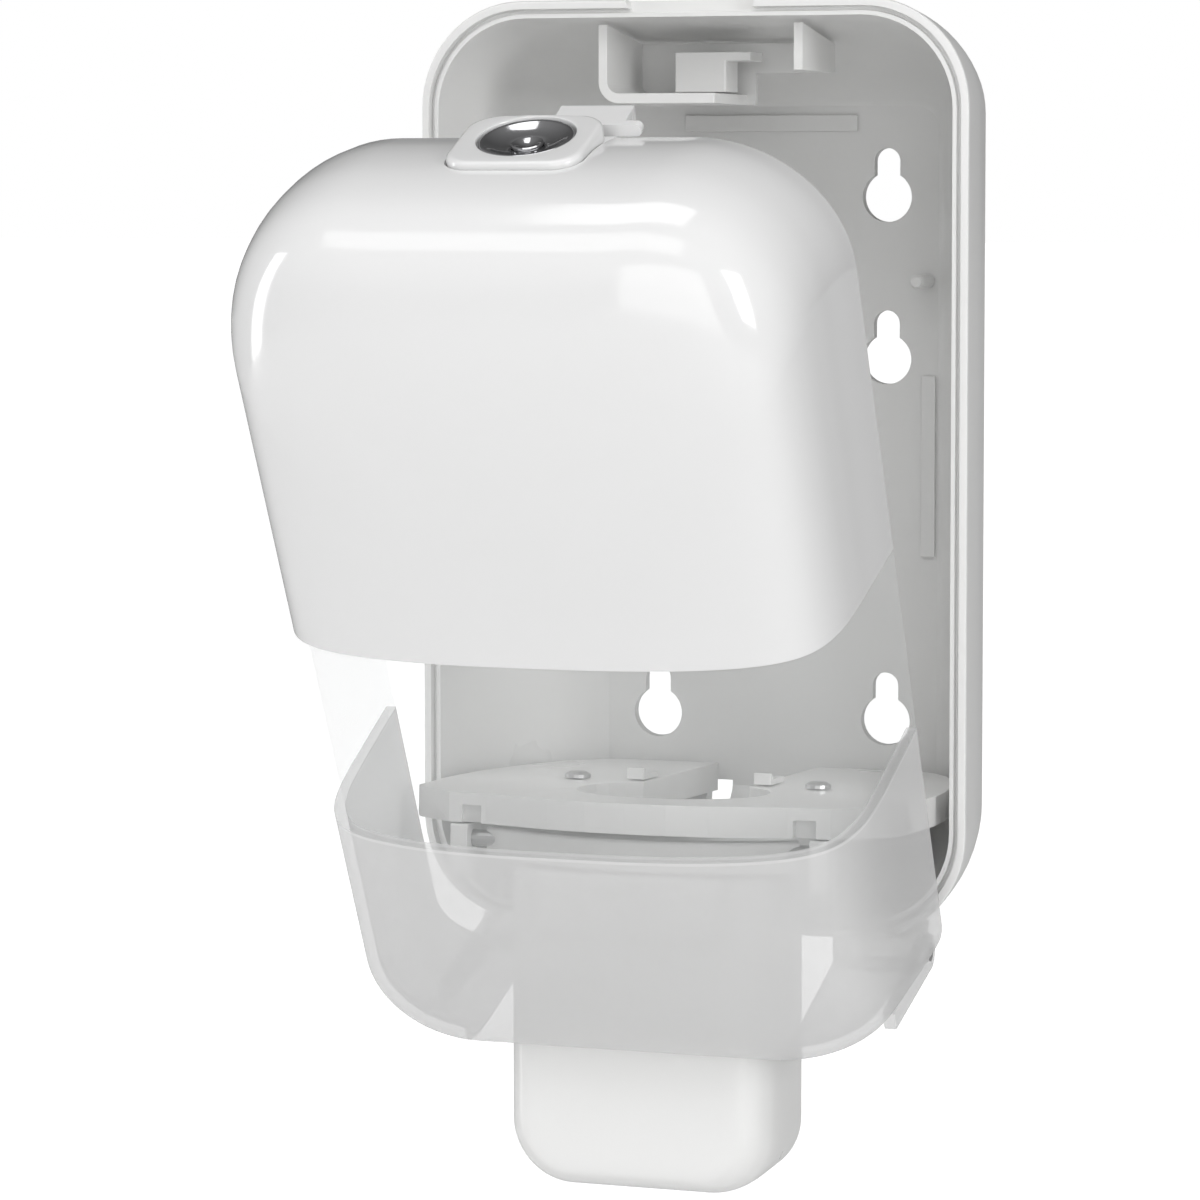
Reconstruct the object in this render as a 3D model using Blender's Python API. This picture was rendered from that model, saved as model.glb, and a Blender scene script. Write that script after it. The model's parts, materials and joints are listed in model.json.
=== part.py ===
"""Wall-mounted soap dispenser, standing open for a refill.

A deep rear housing hangs on the wall by its keyholes. A bottle carrier sits across it, and a push
lever hangs under the carrier on two pins. The cover has a white upper shell and a clear lower
shell. Two arms join it to pins below the housing, so its top swings away from the wall, and a
press lock on its top catches in a bracket at the top of the housing.

Frame: metres, +Z up, the wall is the plane Y = 0, the front faces -Y, X = 0 is the middle.
The cover is modelled closed, around its hinge axis, and its empty turns it open.
"""

import math

import bmesh
import bpy
from mathutils import Matrix, Vector

MM = 0.001
GAP = 0.3 * MM

# Rear housing
HOUSING_HALF_WIDTH = 56.0 * MM
HOUSING_HALF_HEIGHT = 92.0 * MM
HOUSING_DEPTH = 63.5 * MM
HOUSING_CORNER = 21.0 * MM
BACK_THICKNESS = 2.7 * MM

# Keyholes: a round hole below a narrower slot, three rows of two
KEYHOLE_X = 25.0 * MM
KEYHOLE_ROWS = (53.1 * MM, 19.2 * MM, -57.0 * MM)
KEYHOLE_RADIUS = 5.25 * MM
KEYHOLE_SLOT_HALF = 2.75 * MM
KEYHOLE_SLOT_TOP = 10.2 * MM

# Cover, in its closed place
COVER_HALF_WIDTH = 53.0 * MM
COVER_REAR_Y = -63.9 * MM
COVER_WALL = 2.0 * MM
SEAM_REACH = 50.0 * MM
SEAM_FRONT_Z = 14.0 * MM
SEAM_SLOPE = math.radians(7.5)

# Cover hinge
HINGE_Y = -52.0 * MM
HINGE_Z = -96.0 * MM
OPEN_ANGLE = math.radians(28.2)
HINGE_PIN_RADIUS = 1.8 * MM
PIN_CLEARANCE = 0.05 * MM
ARM_INNER_X = 44.2 * MM
ARM_THICKNESS = 2.4 * MM

# Lock on the cover's top
LOCK_Y = -73.8 * MM
LOCK_TOP = 97.6 * MM
LOCK_TILT = math.radians(5.0)
LOCK_RADIUS = 8.7 * MM

# Bracket at the top of the housing: a pocket on the left, stepped up on the right
BRACKET_HALF = 21.0 * MM
BRACKET_FRONT = -56.5 * MM
BRACKET_REAR = -31.0 * MM
BRACKET_LOW = 71.8 * MM
BRACKET_STEP_X = 4.8 * MM
BRACKET_STEP_Z = 78.2 * MM
BRACKET_CORNER = 4.2 * MM
BRACKET_WALL = 1.8 * MM

# Latch hook under the lock, which rocks about the middle of its own thickness
LATCH_TOP = 83.7 * MM
LATCH_THICKNESS = 1.2 * MM
LATCH_PIVOT_Y = -70.0 * MM
LATCH_PIVOT_Z = LATCH_TOP - LATCH_THICKNESS / 2

# Bottle carrier
CARRIER_FRONT_Y = -106.5 * MM
CARRIER_FRONT_Z = -60.4 * MM
CARRIER_TILT = math.radians(3.8)
CARRIER_THICKNESS = 5.8 * MM
NECK_RADIUS = 19.0 * MM
NECK_Y = -74.0 * MM
CHANNEL_HALF = 11.0 * MM

# Push lever
LEVER_PIVOT_Y = -95.0 * MM
LEVER_PIVOT_Z = -70.2 * MM
LEVER_HALF_WIDTH = 26.5 * MM
LEVER_TOP = -74.3 * MM
LEVER_BOTTOM = -137.0 * MM
LEVER_FRONT_Y = -101.5 * MM
LEVER_REAR_Y = -76.0 * MM
LEVER_WALL = 2.0 * MM
YOKE_TOP = -67.9 * MM
YOKE_LOW = LEVER_TOP + GAP
LEVER_PIN_RADIUS = 1.6 * MM

CORNER_STEPS = 6
ROUND_STEPS = 24
SMOOTH_ANGLE = math.radians(35.0)

SIDES = (("left", -1.0), ("right", 1.0))


# Scene and materials


def clear_scene():
    """Remove every object that the scene holds."""
    for item in list(bpy.data.objects):
        bpy.data.objects.remove(item, do_unlink=True)


def make_material(name, colour, roughness, metallic=0.0, alpha=1.0):
    """Return a Principled material."""
    material = bpy.data.materials.new(name)
    material.use_nodes = True
    shader = material.node_tree.nodes["Principled BSDF"]
    shader.inputs["Base Color"].default_value = (*colour, 1.0)
    shader.inputs["Roughness"].default_value = roughness
    shader.inputs["Metallic"].default_value = metallic
    shader.inputs["Alpha"].default_value = alpha
    return material


# Mesh helpers


def finish_mesh(name, mesh, material, parent=None):
    """Link a mesh as a named object, its faces outward and its curves smooth."""
    work = bmesh.new()
    work.from_mesh(mesh)
    bmesh.ops.recalc_face_normals(work, faces=work.faces)
    work.to_mesh(mesh)
    work.free()
    mesh.shade_smooth()
    mesh.set_sharp_from_angle(angle=SMOOTH_ANGLE)
    item = bpy.data.objects.new(name, mesh)
    bpy.context.scene.collection.objects.link(item)
    item.data.materials.append(material)
    item.parent = parent
    return item


def arc_points(centre, radius, start, end, steps):
    """Return points on an arc, both ends included, angles in degrees."""
    points = []
    for index in range(steps + 1):
        angle = math.radians(start + (end - start) * index / steps)
        points.append((centre[0] + radius * math.cos(angle), centre[1] + radius * math.sin(angle)))
    return points


def rounded_outline(half_width, low, high, radius_low, radius_high, steps=CORNER_STEPS):
    """Return a rectangle with round corners, lower corners first, anticlockwise."""
    left, right = -half_width, half_width
    points = arc_points((left + radius_low, low + radius_low), radius_low, 180, 270, steps)
    points += arc_points((right - radius_low, low + radius_low), radius_low, 270, 360, steps)
    points += arc_points((right - radius_high, high - radius_high), radius_high, 0, 90, steps)
    points += arc_points((left + radius_high, high - radius_high), radius_high, 90, 180, steps)
    return points


def loft_mesh(name, sections):
    """Join outlines of equal length, each (y, [(x, z), ...]), and cap both ends."""
    work = bmesh.new()
    rings = []
    for y, outline in sections:
        rings.append([work.verts.new((x, y, z)) for x, z in outline])
    count = len(rings[0])
    for near, far in zip(rings, rings[1:]):
        for index in range(count):
            after = (index + 1) % count
            work.faces.new((near[index], near[after], far[after], far[index]))
    work.faces.new(rings[0])
    work.faces.new(list(reversed(rings[-1])))
    mesh = bpy.data.meshes.new(name)
    work.to_mesh(mesh)
    work.free()
    return mesh


def prism_mesh(name, outline, low, high, axis="Z"):
    """Extrude a flat outline from low to high along an axis.

    The outline's pairs are (x, y) for Z, (x, z) for Y and (y, z) for X.
    """
    place = {
        "X": lambda a, b, c: (c, a, b),
        "Y": lambda a, b, c: (a, c, b),
        "Z": lambda a, b, c: (a, b, c),
    }[axis]
    work = bmesh.new()
    bottom = [work.verts.new(place(a, b, low)) for a, b in outline]
    top = [work.verts.new(place(a, b, high)) for a, b in outline]
    count = len(outline)
    for index in range(count):
        after = (index + 1) % count
        work.faces.new((bottom[index], bottom[after], top[after], top[index]))
    work.faces.new(list(reversed(bottom)))
    work.faces.new(top)
    mesh = bpy.data.meshes.new(name)
    bmesh.ops.recalc_face_normals(work, faces=work.faces)
    work.to_mesh(mesh)
    work.free()
    return mesh


def box_mesh(name, x_range, y_range, z_range):
    """Return a box between two values on each axis."""
    outline = [
        (x_range[0], y_range[0]),
        (x_range[1], y_range[0]),
        (x_range[1], y_range[1]),
        (x_range[0], y_range[1]),
    ]
    return prism_mesh(name, outline, z_range[0], z_range[1])


def circle_outline(centre, radius, steps=ROUND_STEPS):
    """Return a full circle without a repeated last point."""
    return arc_points(centre, radius, 0, 360 - 360 / steps, steps - 1)


def turned_mesh(name, profile, steps=ROUND_STEPS):
    """Turn a closed (radius, z) profile round the local Z axis, ends on the axis."""
    work = bmesh.new()
    foot = work.verts.new((0, 0, profile[0][1]))
    head = work.verts.new((0, 0, profile[-1][1]))
    rings = []
    for radius, z in profile[1:-1]:
        rings.append([work.verts.new((x, y, z)) for x, y in circle_outline((0, 0), radius, steps)])
    for index in range(steps):
        after = (index + 1) % steps
        work.faces.new((foot, rings[0][after], rings[0][index]))
        work.faces.new((head, rings[-1][index], rings[-1][after]))
        for near, far in zip(rings, rings[1:]):
            work.faces.new((near[index], near[after], far[after], far[index]))
    mesh = bpy.data.meshes.new(name)
    work.to_mesh(mesh)
    work.free()
    return mesh


def move_mesh(mesh, matrix):
    """Carry a mesh's points through a matrix and return it."""
    mesh.transform(matrix)
    return mesh


def add_cutter(name, mesh, target, parent=None):
    """Cut a mesh out of a target with a Boolean modifier."""
    cutter = bpy.data.objects.new(name, mesh)
    bpy.context.scene.collection.objects.link(cutter)
    cutter.parent = parent
    cutter.hide_render = True
    cutter.display_type = "WIRE"
    modifier = target.modifiers.new(name, "BOOLEAN")
    modifier.operation = "DIFFERENCE"
    modifier.solver = "EXACT"
    modifier.object = cutter


def add_pivot(name, matrix, parent=None):
    """Add an empty on a joint's axis, placed in its parent's space."""
    pivot = bpy.data.objects.new(name, None)
    bpy.context.scene.collection.objects.link(pivot)
    pivot.parent = parent
    pivot.matrix_local = matrix
    return pivot


# Rear housing and what is fixed to it


def housing_outline(inset):
    """Return the housing's outline, drawn in from its rim by an inset."""
    radius = HOUSING_CORNER - 0.8 * inset
    half_height = HOUSING_HALF_HEIGHT - inset
    return rounded_outline(HOUSING_HALF_WIDTH - inset, -half_height, half_height, radius, radius)


def housing_sections():
    """Return the tub's outline from its back, out to the rim, and down its inside."""
    rim = -HOUSING_DEPTH / MM
    outer = [(0.0, 17.0), (-1.2, 15.0), (-5.0, 12.0), (-14.0, 8.0), (-26.0, 5.0), (-38.0, 2.7)]
    outer += [(-50.0, 1.0), (rim + 0.6, 0.0), (rim, 0.5)]
    lip = [(rim, 1.6), (rim + 1.7, 1.8), (rim + 1.7, 2.4), (rim + 0.6, 2.6), (rim + 0.6, 3.4)]
    inner = [(-50.0, 4.4), (-38.0, 6.0), (-26.0, 8.2), (-14.0, 11.8), (-7.0, 15.5), (-3.6, 18.5)]
    inner += [(-BACK_THICKNESS / MM, 20.1)]
    return [(y * MM, housing_outline(inset * MM)) for y, inset in outer + lip + inner]


def keyhole_outline(x, z):
    """Return a keyhole: most of a circle, with a round-ended slot above."""
    join = math.degrees(math.acos(KEYHOLE_SLOT_HALF / KEYHOLE_RADIUS))
    points = arc_points((x, z), KEYHOLE_RADIUS, 180 - join, 360 + join, 16)
    slot_centre = z + KEYHOLE_SLOT_TOP - KEYHOLE_SLOT_HALF
    points += arc_points((x, slot_centre), KEYHOLE_SLOT_HALF, 0, 180, 6)
    return points


def build_housing(white):
    """Make the deep rear shell with its keyholes, drain windows and lock notch."""
    housing = finish_mesh("rear_housing", loft_mesh("rear_housing", housing_sections()), white)
    for row, z in enumerate(KEYHOLE_ROWS):
        for side, sign in SIDES:
            outline = keyhole_outline(sign * KEYHOLE_X, z)
            mesh = prism_mesh("keyhole", outline, -6.0 * MM, 2.0 * MM, "Y")
            add_cutter(f"cut_keyhole_{row}_{side}", mesh, housing)
    for side, sign in SIDES:
        edges = sorted((sign * 8.4 * MM, sign * 13.7 * MM))
        mesh = box_mesh("window", edges, (-6.0 * MM, 2.0 * MM), (-79.0 * MM, -71.0 * MM))
        add_cutter(f"cut_window_{side}", mesh, housing)
    notch = [(-14.0, 95.0), (-12.6, 89.9), (12.6, 89.9), (14.0, 95.0)]
    outline = [(x * MM, z * MM) for x, z in notch]
    notch_mesh = prism_mesh("notch", outline, -70.0 * MM, -60.5 * MM, "Y")
    add_cutter("cut_lock_notch", notch_mesh, housing)


def build_latch_bracket(white):
    """Make the pocket that hangs under the housing's top, and the block that the hook catches."""
    plan = [(BRACKET_STEP_X, BRACKET_LOW), (BRACKET_STEP_X, BRACKET_STEP_Z), (BRACKET_HALF, BRACKET_STEP_Z)]
    plan += [(BRACKET_HALF, 95.0 * MM), (-BRACKET_HALF, 95.0 * MM)]
    corner = (BRACKET_CORNER - BRACKET_HALF, BRACKET_LOW + BRACKET_CORNER)
    plan += arc_points(corner, BRACKET_CORNER, 180, 270, CORNER_STEPS)
    mesh = prism_mesh("latch_bracket", plan, BRACKET_FRONT, BRACKET_REAR, "Y")
    bracket = finish_mesh("latch_bracket", mesh, white)
    inner = BRACKET_CORNER - BRACKET_WALL
    room = [(3.0 * MM, BRACKET_LOW + 2.0 * MM), (3.0 * MM, 60.0 * MM), (BRACKET_HALF - BRACKET_WALL, 60.0 * MM)]
    room += [(BRACKET_HALF - BRACKET_WALL, 99.0 * MM), (BRACKET_WALL - BRACKET_HALF, 99.0 * MM)]
    corner = (inner + BRACKET_WALL - BRACKET_HALF, BRACKET_LOW + 2.0 * MM + inner)
    room += arc_points(corner, inner, 180, 270, CORNER_STEPS)
    room_mesh = prism_mesh("room", room, -60.0 * MM, BRACKET_REAR - BRACKET_WALL, "Y")
    add_cutter("cut_bracket_room", room_mesh, bracket)
    slope = [(-60.0, 87.9), (-60.0, 99.0), (-25.0, 99.0), (-25.0, 83.2)]
    points = [(y * MM, z * MM) for y, z in slope]
    add_cutter("cut_bracket_top", prism_mesh("roof", points, -30.0 * MM, 30.0 * MM, "X"), bracket)
    block = [(-8.0, 74.1), (2.6, 74.1), (2.6, 80.3), (7.8, 80.3), (7.8, 82.1), (-8.0, 82.1)]
    outline = [(x * MM, z * MM) for x, z in block]
    mesh = prism_mesh("latch_keeper", outline, -47.0 * MM, -38.0 * MM, "Y")
    finish_mesh("latch_keeper", mesh, white)


def build_back_details(white):
    """Make the pads and pegs on the housing's back."""
    face = -BACK_THICKNESS - GAP
    depth = (face - 0.5 * MM, face)
    plate = box_mesh("label_plate", (-18.7 * MM, 18.7 * MM), depth, (66.8 * MM, 70.2 * MM))
    finish_mesh("label_plate", plate, white)
    for side, sign in SIDES:
        edges = sorted((sign * 32.6 * MM, sign * 35.6 * MM))
        strip = box_mesh("strip", edges, depth, (-22.0 * MM, 15.8 * MM))
        finish_mesh(f"side_strip_{side}", strip, white)
        profile = [(0, 0), (1.5, 0), (1.5, 9.6), (1.0, 10.4), (0, 10.4)]
        peg = turned_mesh("peg", [(radius * MM, z * MM) for radius, z in profile], 16)
        place = Matrix.Translation((sign * 33.8 * MM, face, 35.6 * MM))
        turn = place @ Matrix.Rotation(math.pi / 2, 4, "X")
        finish_mesh(f"wall_peg_{side}", move_mesh(peg, turn), white)


def build_hinge_brackets(white, steel):
    """Make the bars under the housing that hold the cover's pins."""
    for side, sign in SIDES:
        outline = [(-58.0, -92.4), (-58.0, -97.0), (-55.0, -100.0), (-49.0, -100.0), (-44.0, -96.0)]
        outline += [(-42.0, -91.4)]
        points = [(y * MM, z * MM) for y, z in outline]
        inner, outer = sorted((sign * 28.0 * MM, sign * (ARM_INNER_X - GAP)))
        mesh = prism_mesh("bracket", points, inner, outer, "X")
        bracket = finish_mesh(f"hinge_bracket_{side}", mesh, white)
        hole = circle_outline((HINGE_Y, HINGE_Z), HINGE_PIN_RADIUS + PIN_CLEARANCE)
        ends = sorted((sign * 34.0 * MM, sign * 60.0 * MM))
        add_cutter(f"cut_hinge_bracket_{side}", prism_mesh("hole", hole, *ends, "X"), bracket)
        pin = circle_outline((HINGE_Y, HINGE_Z), HINGE_PIN_RADIUS)
        tip = ARM_INNER_X + ARM_THICKNESS
        ends = sorted((sign * 34.4 * MM, sign * tip))
        finish_mesh(f"hinge_pin_{side}", prism_mesh("pin", pin, *ends, "X"), steel)


# Bottle carrier


def carrier_outline():
    """Return the carrier's plan: round neck opening, rear channel, side rails and bowed front."""
    right = [(11.0, -4.4), (33.0, -4.4), (37.0, -7.5), (41.0, -14.0), (45.0, -26.0), (47.4, -38.0)]
    right += [(49.0, -50.0), (49.6, -62.0), (49.4, -70.0), (48.6, -86.0), (46.5, -91.0), (38.0, -98.0)]
    right += [(30.0, -99.5), (24.0, -101.8), (16.0, -104.6), (8.0, -106.1)]
    points = [(x * MM, y * MM) for x, y in right]
    front = [(0.0, CARRIER_FRONT_Y)]
    left = [(-x, y) for x, y in reversed(points)]
    reach = math.degrees(math.asin(CHANNEL_HALF / NECK_RADIUS))
    neck = arc_points((0.0, NECK_Y), NECK_RADIUS, 90 + reach, 450 - reach, 24)
    return points + front + left + neck


def carrier_matrix():
    """Return the slope of the carrier, which falls towards the wall."""
    pivot = Vector((0.0, CARRIER_FRONT_Y, CARRIER_FRONT_Z))
    return Matrix.Translation(pivot) @ Matrix.Rotation(-CARRIER_TILT, 4, "X") @ Matrix.Translation(-pivot)


def build_carrier(white, steel):
    """Make the carrier, its two screws, its neck clips and its pivot lugs."""
    slope = carrier_matrix()
    top = CARRIER_FRONT_Z
    mesh = prism_mesh("bottle_carrier", carrier_outline(), top - CARRIER_THICKNESS, top)
    carrier = finish_mesh("bottle_carrier", move_mesh(mesh, slope), white)
    for side, sign in SIDES:
        edges = sorted((sign * 31.0 * MM, sign * 35.2 * MM))
        slot = box_mesh("slot", edges, (-110.0 * MM, -97.2 * MM), (top - 8.0 * MM, top - 2.4 * MM))
        add_cutter(f"cut_carrier_slot_{side}", move_mesh(slot, slope), carrier)
        low = top - CARRIER_THICKNESS - GAP
        edges = sorted((sign * 34.0 * MM, sign * 37.5 * MM))
        lug = box_mesh("lug", edges, (-98.5 * MM, -90.0 * MM), (low - 10.0 * MM, low))
        lug_item = finish_mesh(f"pivot_lug_{side}", move_mesh(lug, slope), white)
        hole = circle_outline((LEVER_PIVOT_Y, LEVER_PIVOT_Z), LEVER_PIN_RADIUS + PIN_CLEARANCE)
        ends = sorted((sign * 30.0 * MM, sign * 42.0 * MM))
        add_cutter(f"cut_lug_{side}", prism_mesh("hole", hole, *ends, "X"), lug_item)
        edges = sorted((sign * 11.4 * MM, sign * 15.0 * MM))
        clip = [(-57.0, 0.3), (-47.0, 0.3), (-47.0, 1.4), (-55.4, 1.4), (-55.9, 2.6), (-57.0, 2.6)]
        points = [(y * MM, top + z * MM) for y, z in clip]
        clip_mesh = move_mesh(prism_mesh("clip", points, *edges, "X"), slope)
        finish_mesh(f"neck_clip_{side}", clip_mesh, white)
        head = [(0, 0), (2.6, 0), (2.6, 0.7), (1.6, 1.3), (0, 1.3)]
        screw = turned_mesh("screw", [(radius * MM, z * MM) for radius, z in head], 16)
        place = slope @ Matrix.Translation((sign * 25.0 * MM, -58.0 * MM, top + GAP))
        finish_mesh(f"carrier_screw_{side}", move_mesh(screw, place), steel)


# Push lever


def lever_sections():
    """Return the paddle: an open-backed scoop with a rounded front and bottom."""
    outer = [(LEVER_FRONT_Y, 5.6, 9.0), (-100.3 * MM, 3.0, 11.0), (-97.5 * MM, 1.3, 12.0)]
    outer += [(-92.0 * MM, 0.3, 12.0), (LEVER_REAR_Y, 0.0, 12.0)]
    inner = [(LEVER_REAR_Y, 2.0, 10.0), (-94.5 * MM, 2.8, 10.0), (-98.0 * MM, 4.2, 9.5)]
    inner += [(LEVER_FRONT_Y + LEVER_WALL, 6.5, 8.0)]
    sections = []
    for y, inset, corner in outer + inner:
        width = LEVER_HALF_WIDTH - inset * MM
        low = LEVER_BOTTOM + inset * MM
        high = LEVER_TOP - 0.35 * inset * MM
        sections.append((y, rounded_outline(width, low, high, corner * MM, 2.5 * MM)))
    return sections


def yoke_outline():
    """Return the plan of the lever's bowed top band, which ends in two square posts."""
    span = 30.6 * MM
    front = []
    back = []
    for index in range(17):
        x = -span + 2 * span * index / 16
        bow = 1.0 - (x / span) ** 2
        front.append((x, -95.8 * MM - 7.6 * MM * bow))
        back.append((x, -92.8 * MM - 7.6 * MM * bow))
    return front + list(reversed(back))


def build_lever(white, steel):
    """Make the paddle, its top band, its thumb plate and its pivot pins."""
    pivot = add_pivot("lever_pivot", Matrix.Translation((0.0, LEVER_PIVOT_Y, LEVER_PIVOT_Z)))
    home = Matrix.Translation((0.0, -LEVER_PIVOT_Y, -LEVER_PIVOT_Z))
    paddle = move_mesh(loft_mesh("push_lever", lever_sections()), home)
    finish_mesh("push_lever", paddle, white, pivot)
    band = move_mesh(prism_mesh("lever_yoke", yoke_outline(), YOKE_LOW, YOKE_TOP), home)
    yoke = finish_mesh("lever_yoke", band, white, pivot)
    depth = (-104.0 * MM, LEVER_FRONT_Y - GAP)
    plate = box_mesh("plate", (-18.0 * MM, 18.0 * MM), depth, (-86.0 * MM, -74.6 * MM))
    insert = finish_mesh("lever_insert", move_mesh(plate, home), white, pivot)
    circle = circle_outline((0.0, -80.0 * MM), 3.9 * MM)
    dimple = prism_mesh("dimple", circle, -106.0 * MM, -103.2 * MM, "Y")
    add_cutter("cut_dimple", move_mesh(dimple, home), insert, pivot)
    for side, sign in SIDES:
        circle = circle_outline((0.0, 0.0), LEVER_PIN_RADIUS, 16)
        ends = sorted((sign * 27.0 * MM, sign * 38.4 * MM))
        finish_mesh(f"lever_pin_{side}", prism_mesh("pin", circle, *ends, "X"), steel, pivot)
        hole = circle_outline((0.0, 0.0), LEVER_PIN_RADIUS + GAP, 16)
        ends = sorted((sign * 26.5 * MM, sign * 40.0 * MM))
        add_cutter(f"cut_yoke_{side}", prism_mesh("hole", hole, *ends, "X"), yoke, pivot)


# Cover


def cover_outline(inset, top, bottom, radius_high, radius_low):
    """Return the closed cover's outline in a plane parallel to the wall, all in millimetres."""
    width = COVER_HALF_WIDTH - inset * MM
    return rounded_outline(width, bottom * MM, top * MM, radius_low * MM, radius_high * MM)


def cover_sections():
    """Return the shell from the middle of its bowed front, out to its rear edge and back inside.

    Each row is the reach in front of the rear edge, the inset of the sides, the top and bottom
    heights, and the radii of the upper and lower corners.
    """
    rows = [
        (51.4, 41.0, 47.0, -37.0, 9.0, 9.0),
        (50.9, 31.0, 59.0, -49.0, 18.0, 15.0),
        (49.8, 22.0, 69.5, -60.0, 22.0, 18.0),
        (48.1, 14.5, 78.5, -69.0, 25.0, 20.0),
        (45.6, 8.8, 86.0, -75.5, 26.0, 20.0),
        (42.4, 5.2, 91.0, -79.5, 26.0, 19.0),
        (38.0, 2.9, 94.6, -82.0, 26.0, 17.0),
        (32.0, 1.5, 96.8, -83.8, 26.0, 15.0),
        (24.0, 0.8, 97.4, -85.4, 26.0, 14.0),
        (16.0, 0.5, 96.6, -87.0, 26.0, 13.0),
        (8.0, 0.2, 94.8, -88.6, 26.0, 12.0),
        (0.0, 0.0, 92.0, -90.0, 26.0, 11.0),
    ]
    wall = COVER_WALL / MM
    sections = []
    for reach, inset, top, bottom, high, low in rows:
        sections.append((COVER_REAR_Y - reach * MM, cover_outline(inset, top, bottom, high, low)))
    for reach, inset, top, bottom, high, low in reversed(rows):
        depth = max(0.0, reach - wall * (reach / rows[0][0]) ** 3)
        thin = (wall, top - wall, bottom + wall, high - 0.8 * wall, low - 0.8 * wall)
        sections.append((COVER_REAR_Y - depth * MM, cover_outline(inset + thin[0], *thin[1:])))
    return sections


def seam_cutter(name, above):
    """Return a tall block on one side of the slanting seam between the two shells."""
    size = 200.0 * MM
    low, high = (-GAP / 2, size) if above else (-size, GAP / 2)
    mesh = box_mesh(name, (-size, size), (-size, size), (low, high))
    front = Vector((0.0, COVER_REAR_Y - SEAM_REACH, SEAM_FRONT_Z))
    return move_mesh(mesh, Matrix.Translation(front) @ Matrix.Rotation(-SEAM_SLOPE, 4, "X"))


def build_cover_shells(home, pivot, white, clear):
    """Make the opaque upper shell and the clear lower shell, which leaves room for the lever."""
    upper_mesh = move_mesh(loft_mesh("cover_upper_shell", cover_sections()), home)
    upper = finish_mesh("cover_upper_shell", upper_mesh, white, pivot)
    add_cutter("cut_upper_seam", move_mesh(seam_cutter("below", False), home), upper, pivot)
    well = rounded_outline(12.6 * MM, -12.2 * MM, 12.0 * MM, 5.0 * MM, 3.0 * MM)
    well_mesh = move_mesh(prism_mesh("well", well, -16.0 * MM, 9.0 * MM), lock_matrix(home))
    add_cutter("cut_lock_well", well_mesh, upper, pivot)
    lower_mesh = move_mesh(loft_mesh("cover_lower_shell", cover_sections()), home)
    lower = finish_mesh("cover_lower_shell", lower_mesh, clear, pivot)
    add_cutter("cut_lower_seam", move_mesh(seam_cutter("above", True), home), lower, pivot)
    depth = (-106.5 * MM, -50.0 * MM)
    mouth = box_mesh("mouth", (-31.0 * MM, 31.0 * MM), depth, (-110.0 * MM, -68.0 * MM))
    add_cutter("cut_lever_mouth", move_mesh(mouth, home), lower, pivot)


def build_hinge_arms(home, pivot, clear):
    """Make the two arms that carry the cover on its pins."""
    for side, sign in SIDES:
        profile = [(-82.0, -91.0), (-82.0, -87.2), (-64.0, -90.6), (-59.0, -91.8)]
        points = [(y * MM, z * MM) for y, z in profile]
        points += arc_points((HINGE_Y, HINGE_Z), 3.6 * MM, 110, -100, 12)
        ends = sorted((sign * ARM_INNER_X, sign * (ARM_INNER_X + ARM_THICKNESS)))
        mesh = move_mesh(prism_mesh("arm", points, *ends, "X"), home)
        arm = finish_mesh(f"hinge_arm_{side}", mesh, clear, pivot)
        hole = circle_outline((0.0, 0.0), HINGE_PIN_RADIUS + PIN_CLEARANCE)
        ends = sorted((sign * 42.0 * MM, sign * 50.0 * MM))
        add_cutter(f"cut_hinge_arm_{side}", prism_mesh("hole", hole, *ends, "X"), arm, pivot)


def lock_matrix(home):
    """Return the place of the lock's face: its axis is local Z and leans a little back."""
    place = Matrix.Translation((0.0, LOCK_Y, LOCK_TOP))
    return home @ place @ Matrix.Rotation(-LOCK_TILT, 4, "X")


def build_lock(home, pivot, white, chrome):
    """Make the lock's bezel and barrel, and the press disc and key core on the lock's own axis."""
    axis = add_pivot("lock_axis", lock_matrix(home), pivot)
    plan = rounded_outline(12.3 * MM, -11.9 * MM, 9.4 * MM, 5.0 * MM, 5.0 * MM)
    bezel = finish_mesh("lock_bezel", prism_mesh("lock_bezel", plan, -3.2 * MM, 0.0), white, axis)
    circle = circle_outline((0.0, 0.0), LOCK_RADIUS + PIN_CLEARANCE)
    add_cutter("cut_bezel_bore", prism_mesh("bore", circle, -9.0 * MM, 9.0 * MM), bezel, axis)
    circle = circle_outline((0.0, 0.0), LOCK_RADIUS)
    finish_mesh("lock_barrel", prism_mesh("barrel", circle, -12.4 * MM, -5.5 * MM), white, axis)
    profile = [(0.0, -3.0), (8.5, -3.0), (8.5, -0.9), (8.0, -0.3), (0.0, -0.3)]
    disc_mesh = turned_mesh("lock_disc", [(radius * MM, z * MM) for radius, z in profile], 32)
    disc = finish_mesh("lock_disc", disc_mesh, chrome, axis)
    socket = prism_mesh("socket", circle_outline((0.0, 0.0), 3.0 * MM), -4.0 * MM, 2.0 * MM)
    add_cutter("cut_disc_socket", socket, disc, axis)
    profile = [(0.0, -2.9), (2.9, -2.9), (2.9, -1.3), (2.2, -1.3), (0.0, -2.1)]
    core = turned_mesh("lock_key_core", [(radius * MM, z * MM) for radius, z in profile], 20)
    finish_mesh("lock_key_core", core, chrome, axis)


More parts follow.
